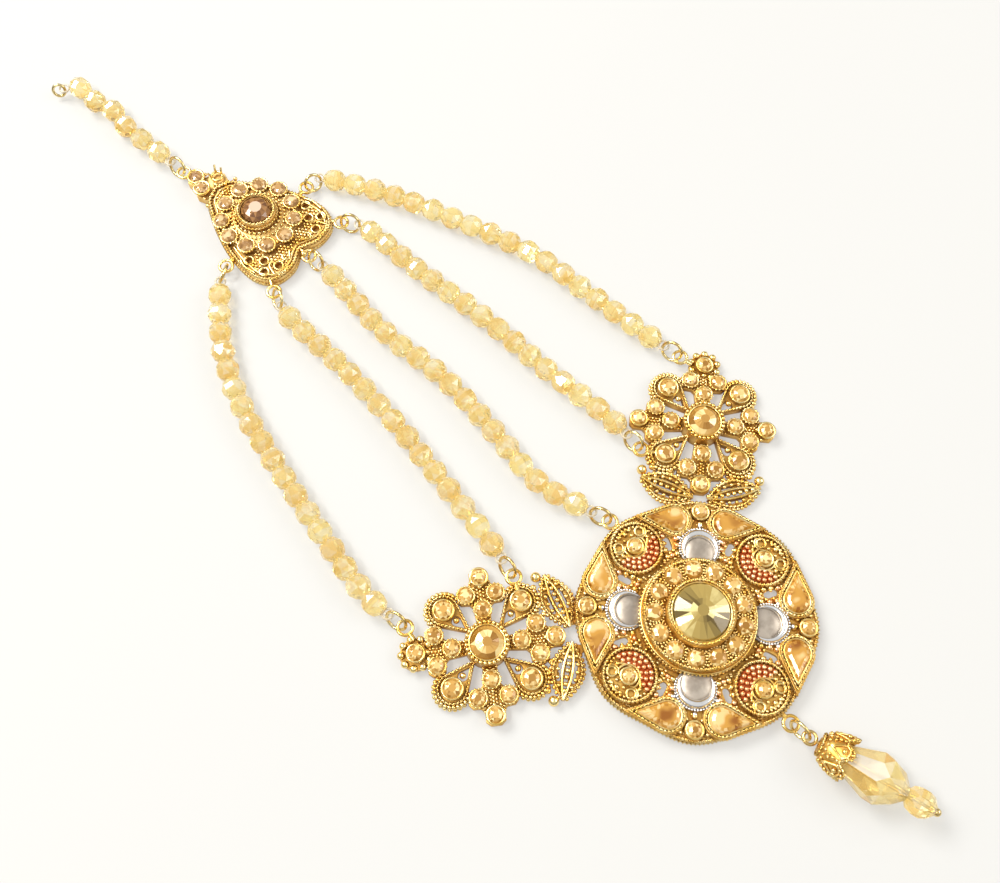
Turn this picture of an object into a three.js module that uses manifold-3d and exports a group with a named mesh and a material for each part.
// A jhoomar: a fan of bead strands that hangs a pierced medallion from a small crest, lying flat.
// Millimetres, +Z up. The back of the metalwork is on Z = 0, +Y runs from the drop to the hook end.
// Every place below is measured from the middle of the medallion until the last lines, which
// move the whole jewel so that the middle of its base is the origin.

import * as THREE from "three";
import { mergeVertices } from "three/addons/utils/BufferGeometryUtils.js";
import Module from "manifold-3d";

const wasm = await Module();
wasm.setup();

// ---- Driving dimensions ---------------------------------------------------------------------

const beadRadius = 2;
const beadNeck = 0.9;             // radius of the flat where two beads meet
const beadGirdle = 1.1;           // length of the widest band of a bead
const stretchGap = 0.3;           // clear space between two stretches of beads
const wireRadius = 0.27;          // jump rings and head pin
const ringRadius = 1.7;           // centre line of a jump ring
const loopRadius = 0.85;          // centre line of the thread loop at the end of a strand
const threadRadius = 0.18;
const eyeletHole = 0.9;
const eyeletRadius = 1.4;
const eyeletThickness = 0.55;
const eyeletHeight = 1.6;         // middle of an eyelet above the table
const clearance = 0.3;            // between a stone or a bead and the metal round it

const medallionTurn = -6.4;       // degrees, as the pieces lie
const medallionRadius = 18.5;
const medallionScallop = 0.35;    // eight shallow waves in the outline
const rimWidth = 1;
const deckHeight = 1.9;           // top of the stamped deck
const sheet = 0.8;                // thickness of the stamped metal
const tierFoot = 9.0;             // the raised centre, whose side slopes in
const tierRadius = 8.6;
const tierHeight = 4.2;
const greatStoneRadius = 4.4;
const greatCupFloor = 4.1;
const greatCupTop = 5.8;
const ringStoneDistance = 6.95;   // thirteen small stones round the great stone
const cornerDistance = 13.9;      // four filigree rounds
const cornerRadius = 4.3;
const crescentDistance = 10.9;    // four silver crescents between them
const crescentRadius = 3.2;
const rimStoneDistance = 16.9;
const teardropRadius = 1.95;
const teardropLength = 4.55;      // from the middle of the round end to the tip
const teardropSeat = 2;
const topEyelet = 1.4;            // from the medallion's edge to the middle of its eyelets
const dropEyelet = 1.8;

const flowerDistance = 32.3;
const flowerAngle = 51.6;         // degrees on each side of +Y
const flowerStoneRadius = 2.5;
const flowerCupFloor = 2.4;
const flowerCupTop = 3.4;

const crestPlace = [0.2, 101];
const crestTurn = 6;
const crestHeight = 1.9;
const crestDrumRadius = 7.2;
const ringStoneReach = 6.4;         // small stones round the crest's stone
const crestDrumTop = 2.4;
const crestStoneRadius = 2.6;
const crestCupFloor = 3.7;
const crestCupTop = 4.7;

// ---- Colours --------------------------------------------------------------------------------

const gold = material(0xc9962e, 0.32, 1);
const amber = material(0xd8922a, 0.12, 0);
const lemon = material(0xd9c66a, 0.08, 0);
const honey = material(0xc98f35, 0.1, 0);
const topaz = material(0xa9784e, 0.12, 0);
const champagne = material(0xe6c078, 0.1, 0);

function material(color, roughness, metalness) {
  return new THREE.MeshStandardMaterial({ color, roughness, metalness });
}

// ---- Solids ---------------------------------------------------------------------------------

/** A closed three.js geometry with its shared vertices merged and its empty triangles left out. */
function welded(geometry) {
  const bare = geometry.clone();
  bare.deleteAttribute("normal");
  bare.deleteAttribute("uv");
  const merged = mergeVertices(bare, 1e-4);
  const corners = merged.index.array;
  const kept = [];
  for (let i = 0; i < corners.length; i += 3) {
    const [a, b, c] = [corners[i], corners[i + 1], corners[i + 2]];
    if (a !== b && b !== c && c !== a) kept.push(a, b, c);
  }
  merged.setIndex(kept);
  return merged;
}

function solid(geometry) {
  const closed = welded(geometry);
  return new wasm.Manifold(new wasm.Mesh({
    numProp: 3,
    vertProperties: new Float32Array(closed.attributes.position.array),
    triVerts: new Uint32Array(closed.index.array),
  }));
}

/** The union of some geometries, less some others, as one geometry. */
function joined(added, removed = []) {
  let body = solid(added[0]);
  for (const geometry of added.slice(1)) body = body.add(solid(geometry));
  for (const geometry of removed) body = body.subtract(solid(geometry));
  const mesh = body.getMesh();
  const geometry = new THREE.BufferGeometry();
  geometry.setAttribute("position", new THREE.BufferAttribute(mesh.vertProperties, 3));
  geometry.setIndex(new THREE.BufferAttribute(mesh.triVerts, 1));
  return geometry;
}

/** The same geometry turned about Z by some degrees and then moved. */
function placed(geometry, x, y, z = 0, turn = 0) {
  return geometry.clone().rotateZ(THREE.MathUtils.degToRad(turn)).translate(x, y, z);
}

/** A closed skin through rings of points that all have the same number of points. */
function loft(rings) {
  const sides = rings[0].length;
  const positions = rings.flat().flatMap((point) => point.toArray());
  const index = [];
  for (let ring = 0; ring + 1 < rings.length; ring++) {
    for (let side = 0; side < sides; side++) {
      const a = ring * sides + side;
      const b = ring * sides + ((side + 1) % sides);
      index.push(a, b, a + sides, b, b + sides, a + sides);
    }
  }
  const last = (rings.length - 1) * sides;
  for (let side = 1; side + 1 < sides; side++) {
    index.push(0, side + 1, side);
    index.push(last, last + side, last + side + 1);
  }
  const geometry = new THREE.BufferGeometry();
  geometry.setAttribute("position", new THREE.Float32BufferAttribute(positions, 3));
  geometry.setIndex(index);
  return geometry;
}

/** A shape raised from one height to another. */
function raised(shape, bottom, top) {
  const options = { depth: top - bottom, bevelEnabled: false, curveSegments: 4 };
  return new THREE.ExtrudeGeometry(shape, options).translate(0, 0, bottom);
}

function polygon(points) {
  return new THREE.Shape(points.map(([x, y]) => new THREE.Vector2(x, y)));
}

/** A round form about Z from a list of [radius, height] points. */
function turned(profile, sides) {
  const points = profile.map(([radius, height]) => new THREE.Vector2(radius, height));
  return new THREE.LatheGeometry(points, sides).rotateX(Math.PI / 2);
}

/** A closed ring about Z with a rectangular section. */
function band(inner, outer, bottom, top, sides) {
  return turned([[inner, bottom], [outer, bottom], [outer, top], [inner, top], [inner, bottom]], sides);
}

/** A small stone with its granulated setting, as one five-sided stud. */
function stud(x, y, bottom, top, radius) {
  const cone = new THREE.CylinderGeometry(radius * 0.7, radius, top - bottom, 5);
  return placed(cone.rotateX(Math.PI / 2), x, y, (top + bottom) / 2);
}

function bar(x, y, length, width, bottom, top, turn) {
  return placed(new THREE.BoxGeometry(length, width, top - bottom), x, y, (top + bottom) / 2, turn);
}

/** Unit steps round a circle, as [cosine, sine] of some degrees. */
function heading(degrees) {
  const angle = THREE.MathUtils.degToRad(degrees);
  return [Math.cos(angle), Math.sin(angle)];
}

/** A flat eyelet that stands out in the heading of its shank, which reaches back into the metal. */
function eyelet(x, y, turn) {
  const shankWidth = 1;
  const shankEnd = -eyeletRadius - 0.9;
  const outer = [-132, -66, 0, 66, 132].map((step) => heading(step));
  const shape = polygon([
    [shankEnd, -shankWidth / 2],
    ...outer.map(([cos, sin]) => [eyeletRadius * cos, eyeletRadius * sin]),
    [shankEnd, shankWidth / 2],
  ]);
  const hole = [0, 60, 120, 180, 240, 300].map((step) => heading(step));
  shape.holes.push(polygon(hole.map(([cos, sin]) => [eyeletHole * cos, eyeletHole * sin])));
  const bottom = eyeletHeight - eyeletThickness / 2;
  return placed(raised(shape, bottom, bottom + eyeletThickness), x, y, 0, turn);
}

/** A teardrop about its round end, with its tip on +X, drawn a little larger when asked. */
function teardrop(grow) {
  const radius = teardropRadius + grow;
  const length = (teardropLength * radius) / teardropRadius;
  const open = THREE.MathUtils.radToDeg(Math.acos(radius / length));
  const steps = 6;
  const points = [[length, 0]];
  for (let step = 0; step <= steps; step++) {
    const [cos, sin] = heading(open + ((360 - 2 * open) * step) / steps);
    points.push([radius * cos, radius * sin]);
  }
  return polygon(points);
}

const pieces = [];

function addPiece(name, geometry, finish) {
  const mesh = new THREE.Mesh(geometry, finish);
  mesh.name = name;
  pieces.push(mesh);
  return mesh;
}

// ---- The medallion --------------------------------------------------------------------------

const quarters = [0, 90, 180, 270];
const sideTurns = quarters.map((turn) => turn + 45);

/** The stamped base: a waved deck with a folded edge, and the raised centre with the stone's cup. */
function medallionBase() {
  const cup = greatStoneRadius + clearance;
  const cupWall = 0.6;
  const hollowRadius = 7.6;
  const form = turned([
    [0, greatCupFloor - sheet],
    [hollowRadius, tierHeight - sheet],
    [hollowRadius, deckHeight - sheet],
    [medallionRadius - rimWidth, deckHeight - sheet],
    [medallionRadius - rimWidth, 0],
    [medallionRadius, 0],
    [medallionRadius, deckHeight],
    [tierFoot, deckHeight],
    [tierRadius, tierHeight],
    [cup + cupWall, tierHeight],
    [cup + cupWall, greatCupTop],
    [cup, greatCupTop],
    [cup, greatCupFloor],
    [0, greatCupFloor],
  ], 24);
  const place = form.attributes.position;
  for (let i = 0; i < place.count; i++) {
    const distance = Math.hypot(place.getX(i), place.getY(i));
    if (distance < tierFoot + 1) continue;
    const angle = Math.atan2(place.getY(i), place.getX(i));
    const grown = 1 + (medallionScallop * Math.cos(8 * angle)) / distance;
    place.setXY(i, place.getX(i) * grown, place.getY(i) * grown);
  }
  return form;
}

/** A filigree round: a rope ring round a low dome with one stone in the middle. */
function cornerRound(turn) {
  const [cos, sin] = heading(turn);
  const form = turned([
    [0, deckHeight - 0.4],
    [cornerRadius, deckHeight - 0.4],
    [cornerRadius, deckHeight + 0.8],
    [0, deckHeight + 1.2],
  ], 9);
  const [x, y] = [cornerDistance * cos, cornerDistance * sin];
  return [placed(form, x, y), stud(x, y, deckHeight + 0.6, deckHeight + 1.8, 1.5)];
}

/** A silver crescent: the half of a dished round that the raised centre leaves clear. */
function crescent(turn) {
  const [cos, sin] = heading(turn);
  const form = turned([
    [0, deckHeight - 0.4],
    [crescentRadius, deckHeight - 0.4],
    [crescentRadius - 0.3, deckHeight + 1.6],
    [crescentRadius - 1.5, deckHeight + 0.9],
    [0, deckHeight + 1.1],
  ], 9);
  return placed(form, crescentDistance * cos, crescentDistance * sin, 0, turn);
}

/** A place along the straight side under a rim stone, as [x, y]. */
function alongSide(side, along, out) {
  const [cos, sin] = heading(side);
  return [out * cos - along * sin, out * sin + along * cos];
}

/** Where a teardrop sits: on each hand of a rim stone, with its tip away from the stone. */
const teardropSpots = sideTurns.flatMap((side) => [1, -1].map((hand) => {
  const [x, y] = alongSide(side, 4 * hand, 15.1);
  return { x, y, turn: side + 90 * hand };
}));

function medallion() {
  const added = [medallionBase()];
  for (const turn of quarters) added.push(...cornerRound(turn));
  for (const side of sideTurns) {
    added.push(crescent(side));
    added.push(stud(...alongSide(side, 0, rimStoneDistance), deckHeight - 0.4, deckHeight + 0.8, 1.5));
  }
  const ringStones = 13;
  for (let stone = 0; stone < ringStones; stone++) {
    const [x, y] = alongSide((360 * stone) / ringStones, 0, ringStoneDistance);
    added.push(stud(x, y, tierHeight - 0.3, tierHeight + 1, 1.5));
  }
  const collar = clearance + 0.5;
  for (const { x, y, turn } of teardropSpots) {
    added.push(placed(raised(teardrop(collar), deckHeight - 0.4, teardropSeat + 0.7), x, y, 0, turn));
  }
  added.push(eyelet(0, medallionRadius + topEyelet, 90));
  added.push(eyelet(0, -medallionRadius - dropEyelet, -90));

  const cups = teardropSpots.map(({ x, y, turn }) =>
    placed(raised(teardrop(clearance), teardropSeat, teardropSeat + 3), x, y, 0, turn));
  const gaps = sideTurns.flatMap((side) => [1, -1].map((hand) => {
    const [x, y] = alongSide(side, 4.9 * hand, 11.3);
    return bar(x, y, 2.2, 1.1, 0, 4, side + 24 * hand);
  }));
  return joined(added, [...cups, ...gaps]);
}

// ---- The two side flowers -------------------------------------------------------------------

/** A petal: a wire teardrop with its tip at the middle and a crown of granules round its stone. */
const petalStoneDistance = 8.4;

function petal(turn) {
  const crown = 2.55;
  const tip = 3;
  const points = [[tip, 0]];
  const steps = 5;
  for (let step = 0; step <= steps; step++) {
    const [cos, sin] = heading(-115 + (230 * step) / steps);
    points.push([petalStoneDistance + crown * cos, crown * sin]);
  }
  return placed(raised(polygon(points), 0, 1.6), 0, 0, 0, turn);
}

function petalGap(turn) {
  return placed(raised(polygon([[4.4, 0], [6.7, -0.95], [6.7, 0.95]]), -1, 3), 0, 0, 0, turn);
}

/** The stones between two petals: one near the middle, then a pair, then one at the edge. */
const triadStones = [
  { out: 5.3, across: 0, top: 2.8 },
  { out: 7.8, across: 2.3, top: 2.5 },
  { out: 7.8, across: -2.3, top: 2.5 },
  { out: 10.5, across: 0, top: 2.4 },
];

/** Half of a triad's plate: a neck with pierced ground beside it, then a lobe under each stone. */
const triadHalf = [[2.5, 1], [6.4, 1.5], [6.4, 3.8], [9.2, 3.8], [9.6, 1.5], [12.1, 1.3]];

function triad(turn) {
  const otherHalf = triadHalf.map(([out, across]) => [out, -across]);
  const plate = raised(polygon([...otherHalf, ...triadHalf.toReversed()]), 0, 1.1);
  const stones = triadStones.map(({ out, across, top }) => stud(out, across, 0.8, top, 1.35));
  return [plate, ...stones].map((geometry) => placed(geometry, 0, 0, 0, turn));
}

/** A leaf on each hand that hugs the medallion, with its ribs left between pierced slots. */
const leafPlace = { out: -11.5, across: 5.4, length: 8.8, width: 4.4, lean: 18 };

function leaf(hand) {
  const { out, across, length, width, lean } = leafPlace;
  const points = [];
  const steps = 4;
  for (const edge of [1, -1]) {
    for (let step = 0; step < steps; step++) {
      const run = (edge * (step / steps - 0.5)) * length;
      points.push([run, (-edge * width * Math.sin((Math.PI * step) / steps)) / 2]);
    }
  }
  return placed(raised(polygon(points), 0, 1.9), out, across * hand, 0, hand * (90 - lean));
}

function leafSlots(hand) {
  const { out, across, length, lean } = leafPlace;
  const turn = hand * (90 - lean);
  const [cos, sin] = heading(turn);
  return [-1, 0, 1].map((row) => {
    const shift = 1.15 * row;
    const reach = row === 0 ? length * 0.62 : length * 0.4;
    return bar(out - shift * sin, across * hand + shift * cos, reach, 0.6, -1, 3, turn);
  });
}

/** One flower about its middle, with +X away from the medallion; its eyelets are on one hand. */
function flower(hand) {
  const cup = flowerStoneRadius + clearance;
  const added = [turned([
    [0, 0],
    [cup + 0.6, 0],
    [cup + 0.6, flowerCupTop],
    [cup, flowerCupTop],
    [cup, flowerCupFloor],
    [0, flowerCupFloor],
  ], 10)];
  for (const turn of quarters) {
    const [cos, sin] = heading(turn + 45);
    added.push(...triad(turn));
    added.push(petal(turn + 45));
    added.push(stud(petalStoneDistance * cos, petalStoneDistance * sin, 1.3, 2.7, 1.6));
  }
  added.push(turned([[0, 0], [2.8, 0], [2.8, 1.7], [0, 1.7]], 8).translate(10.8, 0, 0));
  for (const side of [1, -1]) {
    added.push(leaf(side));
    added.push(bar(-8.9, 5.6 * side, 2.6, 1.2, 0, 1, 0));
    added.push(bar(-13.4, 2.4 * side, 2, 1.6, 0, 1.2, 0));
  }
  added.push(eyelet(12, 4.1 * hand, hand * 60));
  added.push(eyelet(-5.4, 9.9 * hand, hand * 80));
  const gaps = quarters.map((turn) => petalGap(turn + 45));
  return joined(added, [...gaps, ...leafSlots(1), ...leafSlots(-1)]);
}

/** Hands: the right flower stands on +X and has its eyelets on the left, and the other way round. */
const flowerSides = [
  { name: "left", hand: -1 },
  { name: "right", hand: 1 },
].map(({ name, hand }) => {
  const turn = 90 - flowerAngle * hand;
  const [cos, sin] = heading(turn);
  return { name, hand, turn, x: flowerDistance * cos, y: flowerDistance * sin };
});

const plaqueParts = [placed(medallion(), 0, 0, 0, medallionTurn)];
for (const { hand, turn, x, y } of flowerSides) plaqueParts.push(placed(flower(hand), x, y, 0, turn));
addPiece("medallion_and_flowers", joined(plaqueParts), gold);

// ---- The stones of the medallion and the flowers --------------------------------------------

/** A round cut stone: a low pavilion, a girdle, a sloping crown and a table. */
function roundStone(radius, height, sides) {
  return turned([
    [0, 0],
    [radius * 0.7, 0],
    [radius, height * 0.35],
    [radius, height * 0.5],
    [radius * 0.55, height],
    [0, height],
  ], sides);
}

/** A teardrop cabochon, with a step in from its girdle to its flat top. */
function teardropStone() {
  const points = (grow, height) => teardrop(grow).getPoints().slice(0, 8)
    .map((point) => new THREE.Vector3(point.x, point.y, height));
  return loft([points(0, 0), points(0, 0.7), points(-0.7, 1.3)]);
}

const greatStone = addPiece("medallion_stone", roundStone(greatStoneRadius, 2.9, 12), lemon);
greatStone.position.set(0, 0, greatCupFloor + clearance);
greatStone.rotation.z = THREE.MathUtils.degToRad(medallionTurn);

teardropSpots.forEach(({ x, y, turn }, number) => {
  const stone = addPiece(`teardrop_stone_${number + 1}`, teardropStone(), amber);
  const [cos, sin] = heading(medallionTurn);
  stone.position.set(x * cos - y * sin, x * sin + y * cos, teardropSeat + clearance);
  stone.rotation.z = THREE.MathUtils.degToRad(turn + medallionTurn);
});

for (const { name, x, y, turn } of flowerSides) {
  const stone = addPiece(`flower_${name}_stone`, roundStone(flowerStoneRadius, 1.7, 10), honey);
  stone.position.set(x, y, flowerCupFloor + clearance);
  stone.rotation.z = THREE.MathUtils.degToRad(turn);
}

// ---- The crest ------------------------------------------------------------------------------

/** Half of the heart from its neck to its notch, in the crest's own frame. */
const crestHalf = [
  { x: 0, y: 11.4 },
  { x: 2.6, y: 10.4 },
  { x: 4.4, y: 8 },
  { x: 6.6, y: 4 },
  { x: 8.2, y: 0 },
  { x: 9.1, y: -4 },
  { x: 9.1, y: -7.5 },
  { x: 7.2, y: -10.3 },
  { x: 3.4, y: -10.9 },
  { x: 0, y: -9.5 },
];

/** The head above the neck, which leans to the left: a stone on top and one on each hand. */
const crestHead = [[2.6, 10.2], [3.4, 12.2], [2.6, 13.6], [0.7, 14.2], [0.5, 15.8], [-0.9, 16.8],
  [-2.2, 15.8], [-2.2, 14.2], [-3.2, 12.6], [-2.6, 10.2]];

function crestOutline() {
  const half = crestHalf.map(({ x, y }) => new THREE.Vector2(x, y));
  const right = new THREE.SplineCurve(half).getPoints(11);
  const left = right.slice(1, -1).reverse().map((point) => new THREE.Vector2(-point.x, point.y));
  return new THREE.Shape([...right, ...left]);
}

const crestHooks = [
  { name: "outer_right", x: 10.4, y: -1.3, turn: 0 },
  { name: "inner_right", x: 8.8, y: -11, turn: -58 },
  { name: "middle", x: 0.1, y: -11.2, turn: -90 },
  { name: "inner_left", x: -9, y: -11.3, turn: 236 },
  { name: "outer_left", x: -10.4, y: -1.4, turn: 180 },
  { name: "tail", x: -1, y: 18, turn: 92 },
];

const headStones = [
  { x: -0.8, y: 15.1 },
  { x: -1.8, y: 12.6 },
];

/** The middle of the drum and its stone, a little nearer the head than the middle of the crest. */
const crestDrumPlace = [0.2, 0.7];

/** The small open filigree rings of one lobe, pierced through. */
const lobeHoles = [
  { x: 7.4, y: -4.2 },
  { x: 5.8, y: -6.2 },
  { x: 7.2, y: -7.8 },
  { x: 4.8, y: -8.8 },
];

function crest() {
  const [drumX, drumY] = crestDrumPlace;
  const cup = crestStoneRadius + clearance;
  const cupWall = 0.7;
  const drum = turned([
    [0, crestHeight - 0.4],
    [crestDrumRadius, crestHeight - 0.4],
    [crestDrumRadius, crestDrumTop],
    [cup + cupWall, crestDrumTop],
    [cup + cupWall, crestCupTop],
    [cup, crestCupTop],
    [cup, crestCupFloor],
    [0, crestCupFloor],
  ], 10);
  const added = [
    raised(crestOutline(), 0, crestHeight),
    raised(polygon(crestHead), 0, crestHeight - 0.1),
    drum.translate(drumX, drumY, 0),
  ];
  const ringStones = 11;
  for (let stone = 0; stone < ringStones; stone++) {
    const [x, y] = alongSide((360 * stone) / ringStones - 90, 0, ringStoneReach);
    added.push(stud(drumX + x, drumY + y, crestDrumTop - 0.3, crestDrumTop + 0.9, 1.4));
  }
  for (const { x, y } of headStones) added.push(stud(x, y, crestHeight - 0.4, crestHeight + 1, 1.4));
  added.push(band(0.6, 1.3, crestHeight - 0.4, crestHeight + 0.8, 5).translate(1.9, 12.3, 0));
  for (const { x, y, turn } of crestHooks) added.push(eyelet(x, y, turn));
  const hollow = turned([[0, -1], [6, -1], [6, crestHeight - sheet], [0, crestHeight - sheet + 1.6]], 10);
  const holes = [1, -1].flatMap((hand) => lobeHoles.map(({ x, y }) =>
    new THREE.CylinderGeometry(0.5, 0.5, 5, 4).rotateX(Math.PI / 2).translate(x * hand, y, 2)));
  return joined(added, [hollow, ...holes]);
}

/** A point of the crest's own frame in the frame of the jewel. */
function onCrest(x, y) {
  const [cos, sin] = heading(crestTurn);
  return [crestPlace[0] + x * cos - y * sin, crestPlace[1] + x * sin + y * cos];
}

addPiece("crest", placed(crest(), ...crestPlace, 0, crestTurn), gold);
const crestStone = addPiece("crest_stone", roundStone(crestStoneRadius, 1.7, 10), topaz);
crestStone.position.set(...onCrest(...crestDrumPlace), crestCupFloor + clearance);
crestStone.rotation.z = THREE.MathUtils.degToRad(crestTurn);

// ---- Strands, rings and loops ---------------------------------------------------------------

/** A jump ring through the two places it links. It leans up from the table, each ring to one side. */
function jumpRing(name, one, other, lean = 65) {
  const [from, to] = one.y > other.y ? [one, other] : [other, one];
  const along = to.clone().sub(from).normalize();
  const across = new THREE.Vector3(0, 0, 1).cross(along).normalize();
  const upward = along.clone().cross(across);
  const angle = THREE.MathUtils.degToRad(lean);
  const second = across.multiplyScalar(Math.cos(angle)).addScaledVector(upward, Math.sin(angle));
  const radius = from.distanceTo(to) / 2;
  const ring = addPiece(name, new THREE.TorusGeometry(radius, wireRadius, 3, 8), gold);
  ring.matrixAutoUpdate = false;
  ring.matrix.makeBasis(along, second, along.clone().cross(second));
  ring.matrix.setPosition(from.clone().add(to).multiplyScalar(0.5));
}

/** The point that leads a strand out of an eyelet. */
function hookOf(name) {
  const { x, y } = crestHooks.find((hook) => hook.name === name);
  return onCrest(x, y);
}

function onFlower(hand, x, y) {
  const side = flowerSides.find((flowerSide) => flowerSide.hand === hand);
  const [cos, sin] = heading(side.turn);
  return [side.x + x * cos - y * sin, side.y + x * sin + y * cos];
}

const [downCos, downSin] = heading(medallionTurn + 90);
const medallionTopEyelet = [downCos, downSin].map((part) => part * (medallionRadius + topEyelet));
const medallionDropEyelet = [downCos, downSin].map((part) => -part * (medallionRadius + dropEyelet));

/** Each strand from the crest to the metal below it, through the points that it passes as it lies. */
const strands = [
  {
    name: "outer_right", beads: 18, stretches: 4,
    path: [hookOf("outer_right"), [13.6, 100.4], [19.6, 90], [24.8, 76.5], [29.2, 62], [30.3, 49],
      [31.2, 38], onFlower(1, 12, 4.1)],
  },
  {
    name: "inner_right", beads: 16, stretches: 4,
    path: [hookOf("inner_right"), [12.2, 87], [12.8, 74], [14.2, 58], [14.5, 45], [15.3, 32],
      onFlower(1, -5.4, 9.9)],
  },
  {
    name: "middle", beads: 17, stretches: 4,
    path: [hookOf("middle"), [1.6, 84], [0.3, 70], [1.3, 56], [0.2, 43], [-1, 32], medallionTopEyelet],
  },
  {
    name: "inner_left", beads: 15, stretches: 4,
    path: [hookOf("inner_left"), [-9.1, 83], [-9.1, 70], [-10, 56], [-11.8, 43], [-13.4, 32],
      onFlower(-1, -5.4, -9.9)],
  },
  {
    name: "outer_left", beads: 18, stretches: 4,
    path: [hookOf("outer_left"), [-13.2, 96.2], [-20.6, 87], [-25.6, 76], [-28.9, 62], [-31, 51],
      [-32.9, 39], onFlower(-1, 12, -4.1)],
  },
  {
    name: "tail", beads: 6, stretches: 2,
    path: [hookOf("tail"), [-3.2, 126.2], [-3.8, 134.5], [-3.1, 139.4], [-4.4, 143.2], [-4.4, 147.2],
      [-8.2, 149.9]],
    endRadius: 1.05,
  },
];

/** A thread loop that lies flat round the wire of a jump ring, just before the first bead. */
function threadLoop(place) {
  return new THREE.TorusGeometry(loopRadius, threadRadius, 3, 6).translate(place.x, place.y, place.z);
}

/** One ring of bead corners about a point of the path. */
function beadSection(curve, distance, radius) {
  const share = THREE.MathUtils.clamp(distance / curve.getLength(), 0, 1);
  const middle = curve.getPointAt(share);
  const across = new THREE.Vector3(0, 0, 1).cross(curve.getTangentAt(share)).normalize();
  const sides = 6;
  return Array.from({ length: sides }, (_, side) => {
    const [cos, sin] = heading(90 + (360 * side) / sides);
    return middle.clone().addScaledVector(across, radius * cos).add(new THREE.Vector3(0, 0, radius * sin));
  });
}

function strand({ name, beads, stretches, path, endRadius = ringRadius }) {
  const points = path.map(([x, y]) => new THREE.Vector3(x, y, beadRadius));
  const curve = new THREE.CatmullRomCurve3(points, false, "catmullrom");
  curve.arcLengthDivisions = 400;
  const length = curve.getLength();
  const lead = 2 * ringRadius + loopRadius;
  const pitch = (length - lead - 2 * endRadius - loopRadius) / beads;
  const loopPlaces = [2 * ringRadius, length - 2 * endRadius].map((run) => curve.getPointAt(run / length));

  for (let stretch = 0; stretch < stretches; stretch++) {
    const first = Math.round((stretch * beads) / stretches);
    const last = Math.round(((stretch + 1) * beads) / stretches);
    const rings = [];
    for (let bead = first; bead < last; bead++) {
      const middle = lead + (bead + 0.5) * pitch;
      const startGap = bead === first && stretch > 0 ? stretchGap / 2 : 0;
      const endGap = bead === last - 1 && stretch < stretches - 1 ? stretchGap / 2 : 0;
      if (bead === first) rings.push(beadSection(curve, middle - pitch / 2 + startGap, beadNeck));
      rings.push(beadSection(curve, middle - beadGirdle / 2, beadRadius));
      rings.push(beadSection(curve, middle + beadGirdle / 2, beadRadius));
      rings.push(beadSection(curve, middle + pitch / 2 - endGap, beadNeck));
    }
    const added = [loft(rings)];
    if (stretch === 0) added.push(threadLoop(loopPlaces[0]));
    if (stretch === stretches - 1) added.push(threadLoop(loopPlaces[1]));
    addPiece(`beads_${name}_${stretch + 1}`, joined(added), champagne);
  }
  const [top, end] = [points[0], points[points.length - 1]].map((point) => point.clone().setZ(eyeletHeight));
  jumpRing(`ring_${name}_top`, top, loopPlaces[0]);
  jumpRing(`ring_${name}_end`, end, loopPlaces[1]);
}

strands.forEach(strand);

// ---- The drop -------------------------------------------------------------------------------

const dropTurn = -78;             // heading of the drop as it lies
const dropRise = 4.6;             // degrees, because the crystal is its widest part
const pinLoopRadius = 0.95;
const pinLoopPlace = new THREE.Vector3(-2.35, -23.24, 3.05);
const capStart = 1.4;
const capMouth = 6;
const capRadius = 3.45;
const crystalStart = 3.4;
const crystalWaist = 11;          // where the crystal is widest
const crystalRadius = 3.9;
const crystalEnd = 14.9;
const dropBeadLength = 3.4;
const dropBeadRadius = 2.25;
const pinBallPlace = 19.4;
const pinBallRadius = 0.65;
const boreRadius = wireRadius + clearance;

/** The drop's pieces are turned about +X, which is then laid along the drop's heading. */
function alongDrop(profile, sides) {
  return turned(profile, sides).rotateY(Math.PI / 2);
}

const drop = new THREE.Group();
drop.position.copy(pinLoopPlace);
drop.rotation.order = "ZYX";
drop.rotation.z = THREE.MathUtils.degToRad(dropTurn);
drop.rotation.y = -THREE.MathUtils.degToRad(dropRise);

function dropPin() {
  const loop = new THREE.TorusGeometry(pinLoopRadius, wireRadius, 4, 8);
  const start = pinLoopRadius - 0.1;
  const shaftHalf = [[0, start], [wireRadius, start], [wireRadius, pinBallPlace], [0, pinBallPlace]];
  const shaft = alongDrop(shaftHalf, 6);
  const ball = new THREE.SphereGeometry(pinBallRadius, 6, 4).translate(pinBallPlace, 0, 0);
  return joined([loop, shaft, ball]);
}

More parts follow.
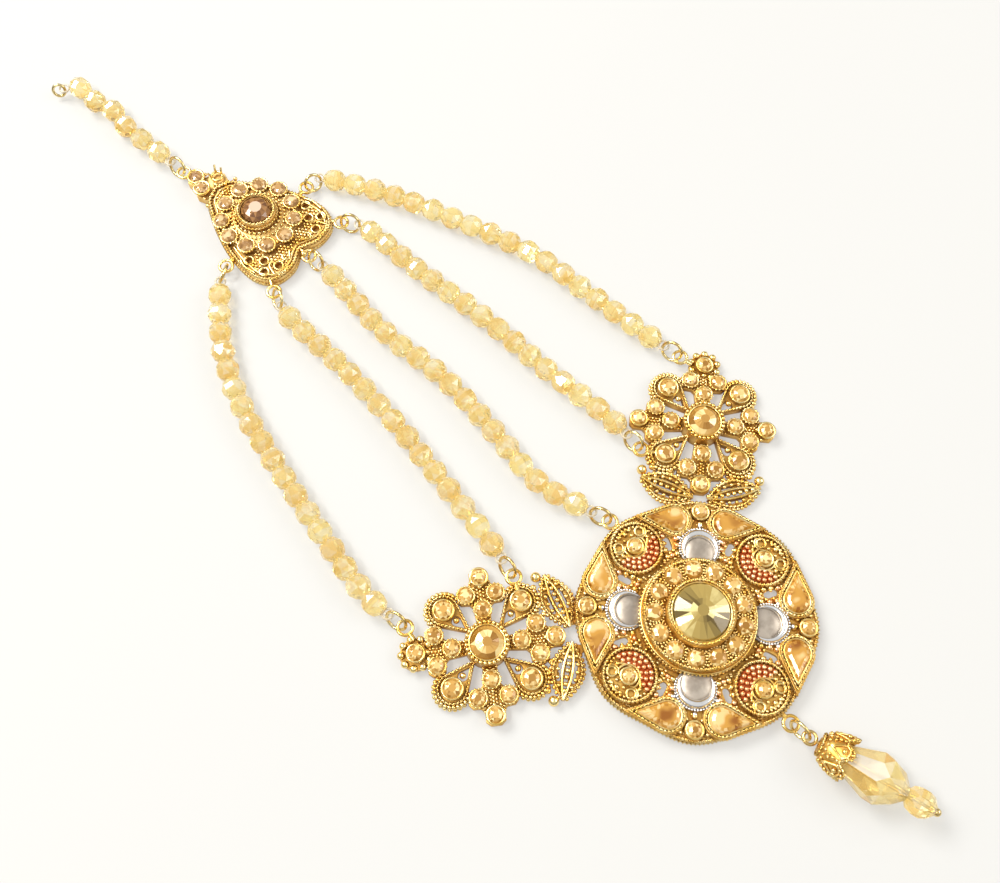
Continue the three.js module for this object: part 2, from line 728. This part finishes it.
/** A flared filigree cap with a crown of petals at its mouth. */
function dropCap() {
  const wall = 0.5;
  const shell = alongDrop([
    [boreRadius, capStart],
    [1.6, capStart],
    [2.5, capStart + 1.3],
    [capRadius, capMouth],
    [capRadius - wall, capMouth],
    [2.5 - wall, capStart + 1.3 + wall],
    [boreRadius, capStart + wall],
    [boreRadius, capStart],
  ], 10);
  const petals = 6;
  const notches = Array.from({ length: petals }, (_, number) => {
    const notch = new THREE.CylinderGeometry(1.15, 1.15, capRadius + 1, 4, 1);
    notch.translate(0, (capRadius + 1) / 2 + 1, 0);
    return notch.rotateX((2 * Math.PI * (number + 0.5)) / petals).translate(capMouth, 0, 0);
  });
  return joined([shell], notches);
}

function dropCrystal() {
  return alongDrop([
    [boreRadius, crystalStart],
    [1.5, crystalStart],
    [2.35, capMouth - 0.4],
    [crystalRadius, crystalWaist - 0.5],
    [crystalRadius, crystalWaist + 0.5],
    [3.1, crystalEnd - 1.5],
    [1.3, crystalEnd],
    [boreRadius, crystalEnd],
    [boreRadius, crystalStart],
  ], 8);
}

function dropBead() {
  const start = crystalEnd + clearance;
  return alongDrop([
    [boreRadius, start],
    [1, start],
    [dropBeadRadius, start + 1.2],
    [dropBeadRadius, start + dropBeadLength - 1.2],
    [1, start + dropBeadLength],
    [boreRadius, start + dropBeadLength],
    [boreRadius, start],
  ], 8);
}

drop.add(
  addPiece("drop_pin", dropPin(), gold),
  addPiece("drop_cap", dropCap(), gold),
  addPiece("drop_crystal", dropCrystal(), champagne),
  addPiece("drop_bead", dropBead(), champagne),
);
jumpRing("ring_drop", new THREE.Vector3(...medallionDropEyelet, eyeletHeight), pinLoopPlace, 78);

// ---- The whole jewel ------------------------------------------------------------------------

const jewel = new THREE.Group();
for (const piece of pieces) {
  if (piece.parent === null) jewel.add(piece);
}
jewel.add(drop);

const group = new THREE.Group();
group.add(jewel);
group.updateMatrixWorld(true);
const box = new THREE.Box3().setFromObject(group, true);
const middle = box.getCenter(new THREE.Vector3());
jewel.position.set(-middle.x, -middle.y, -box.min.z);

export default group;
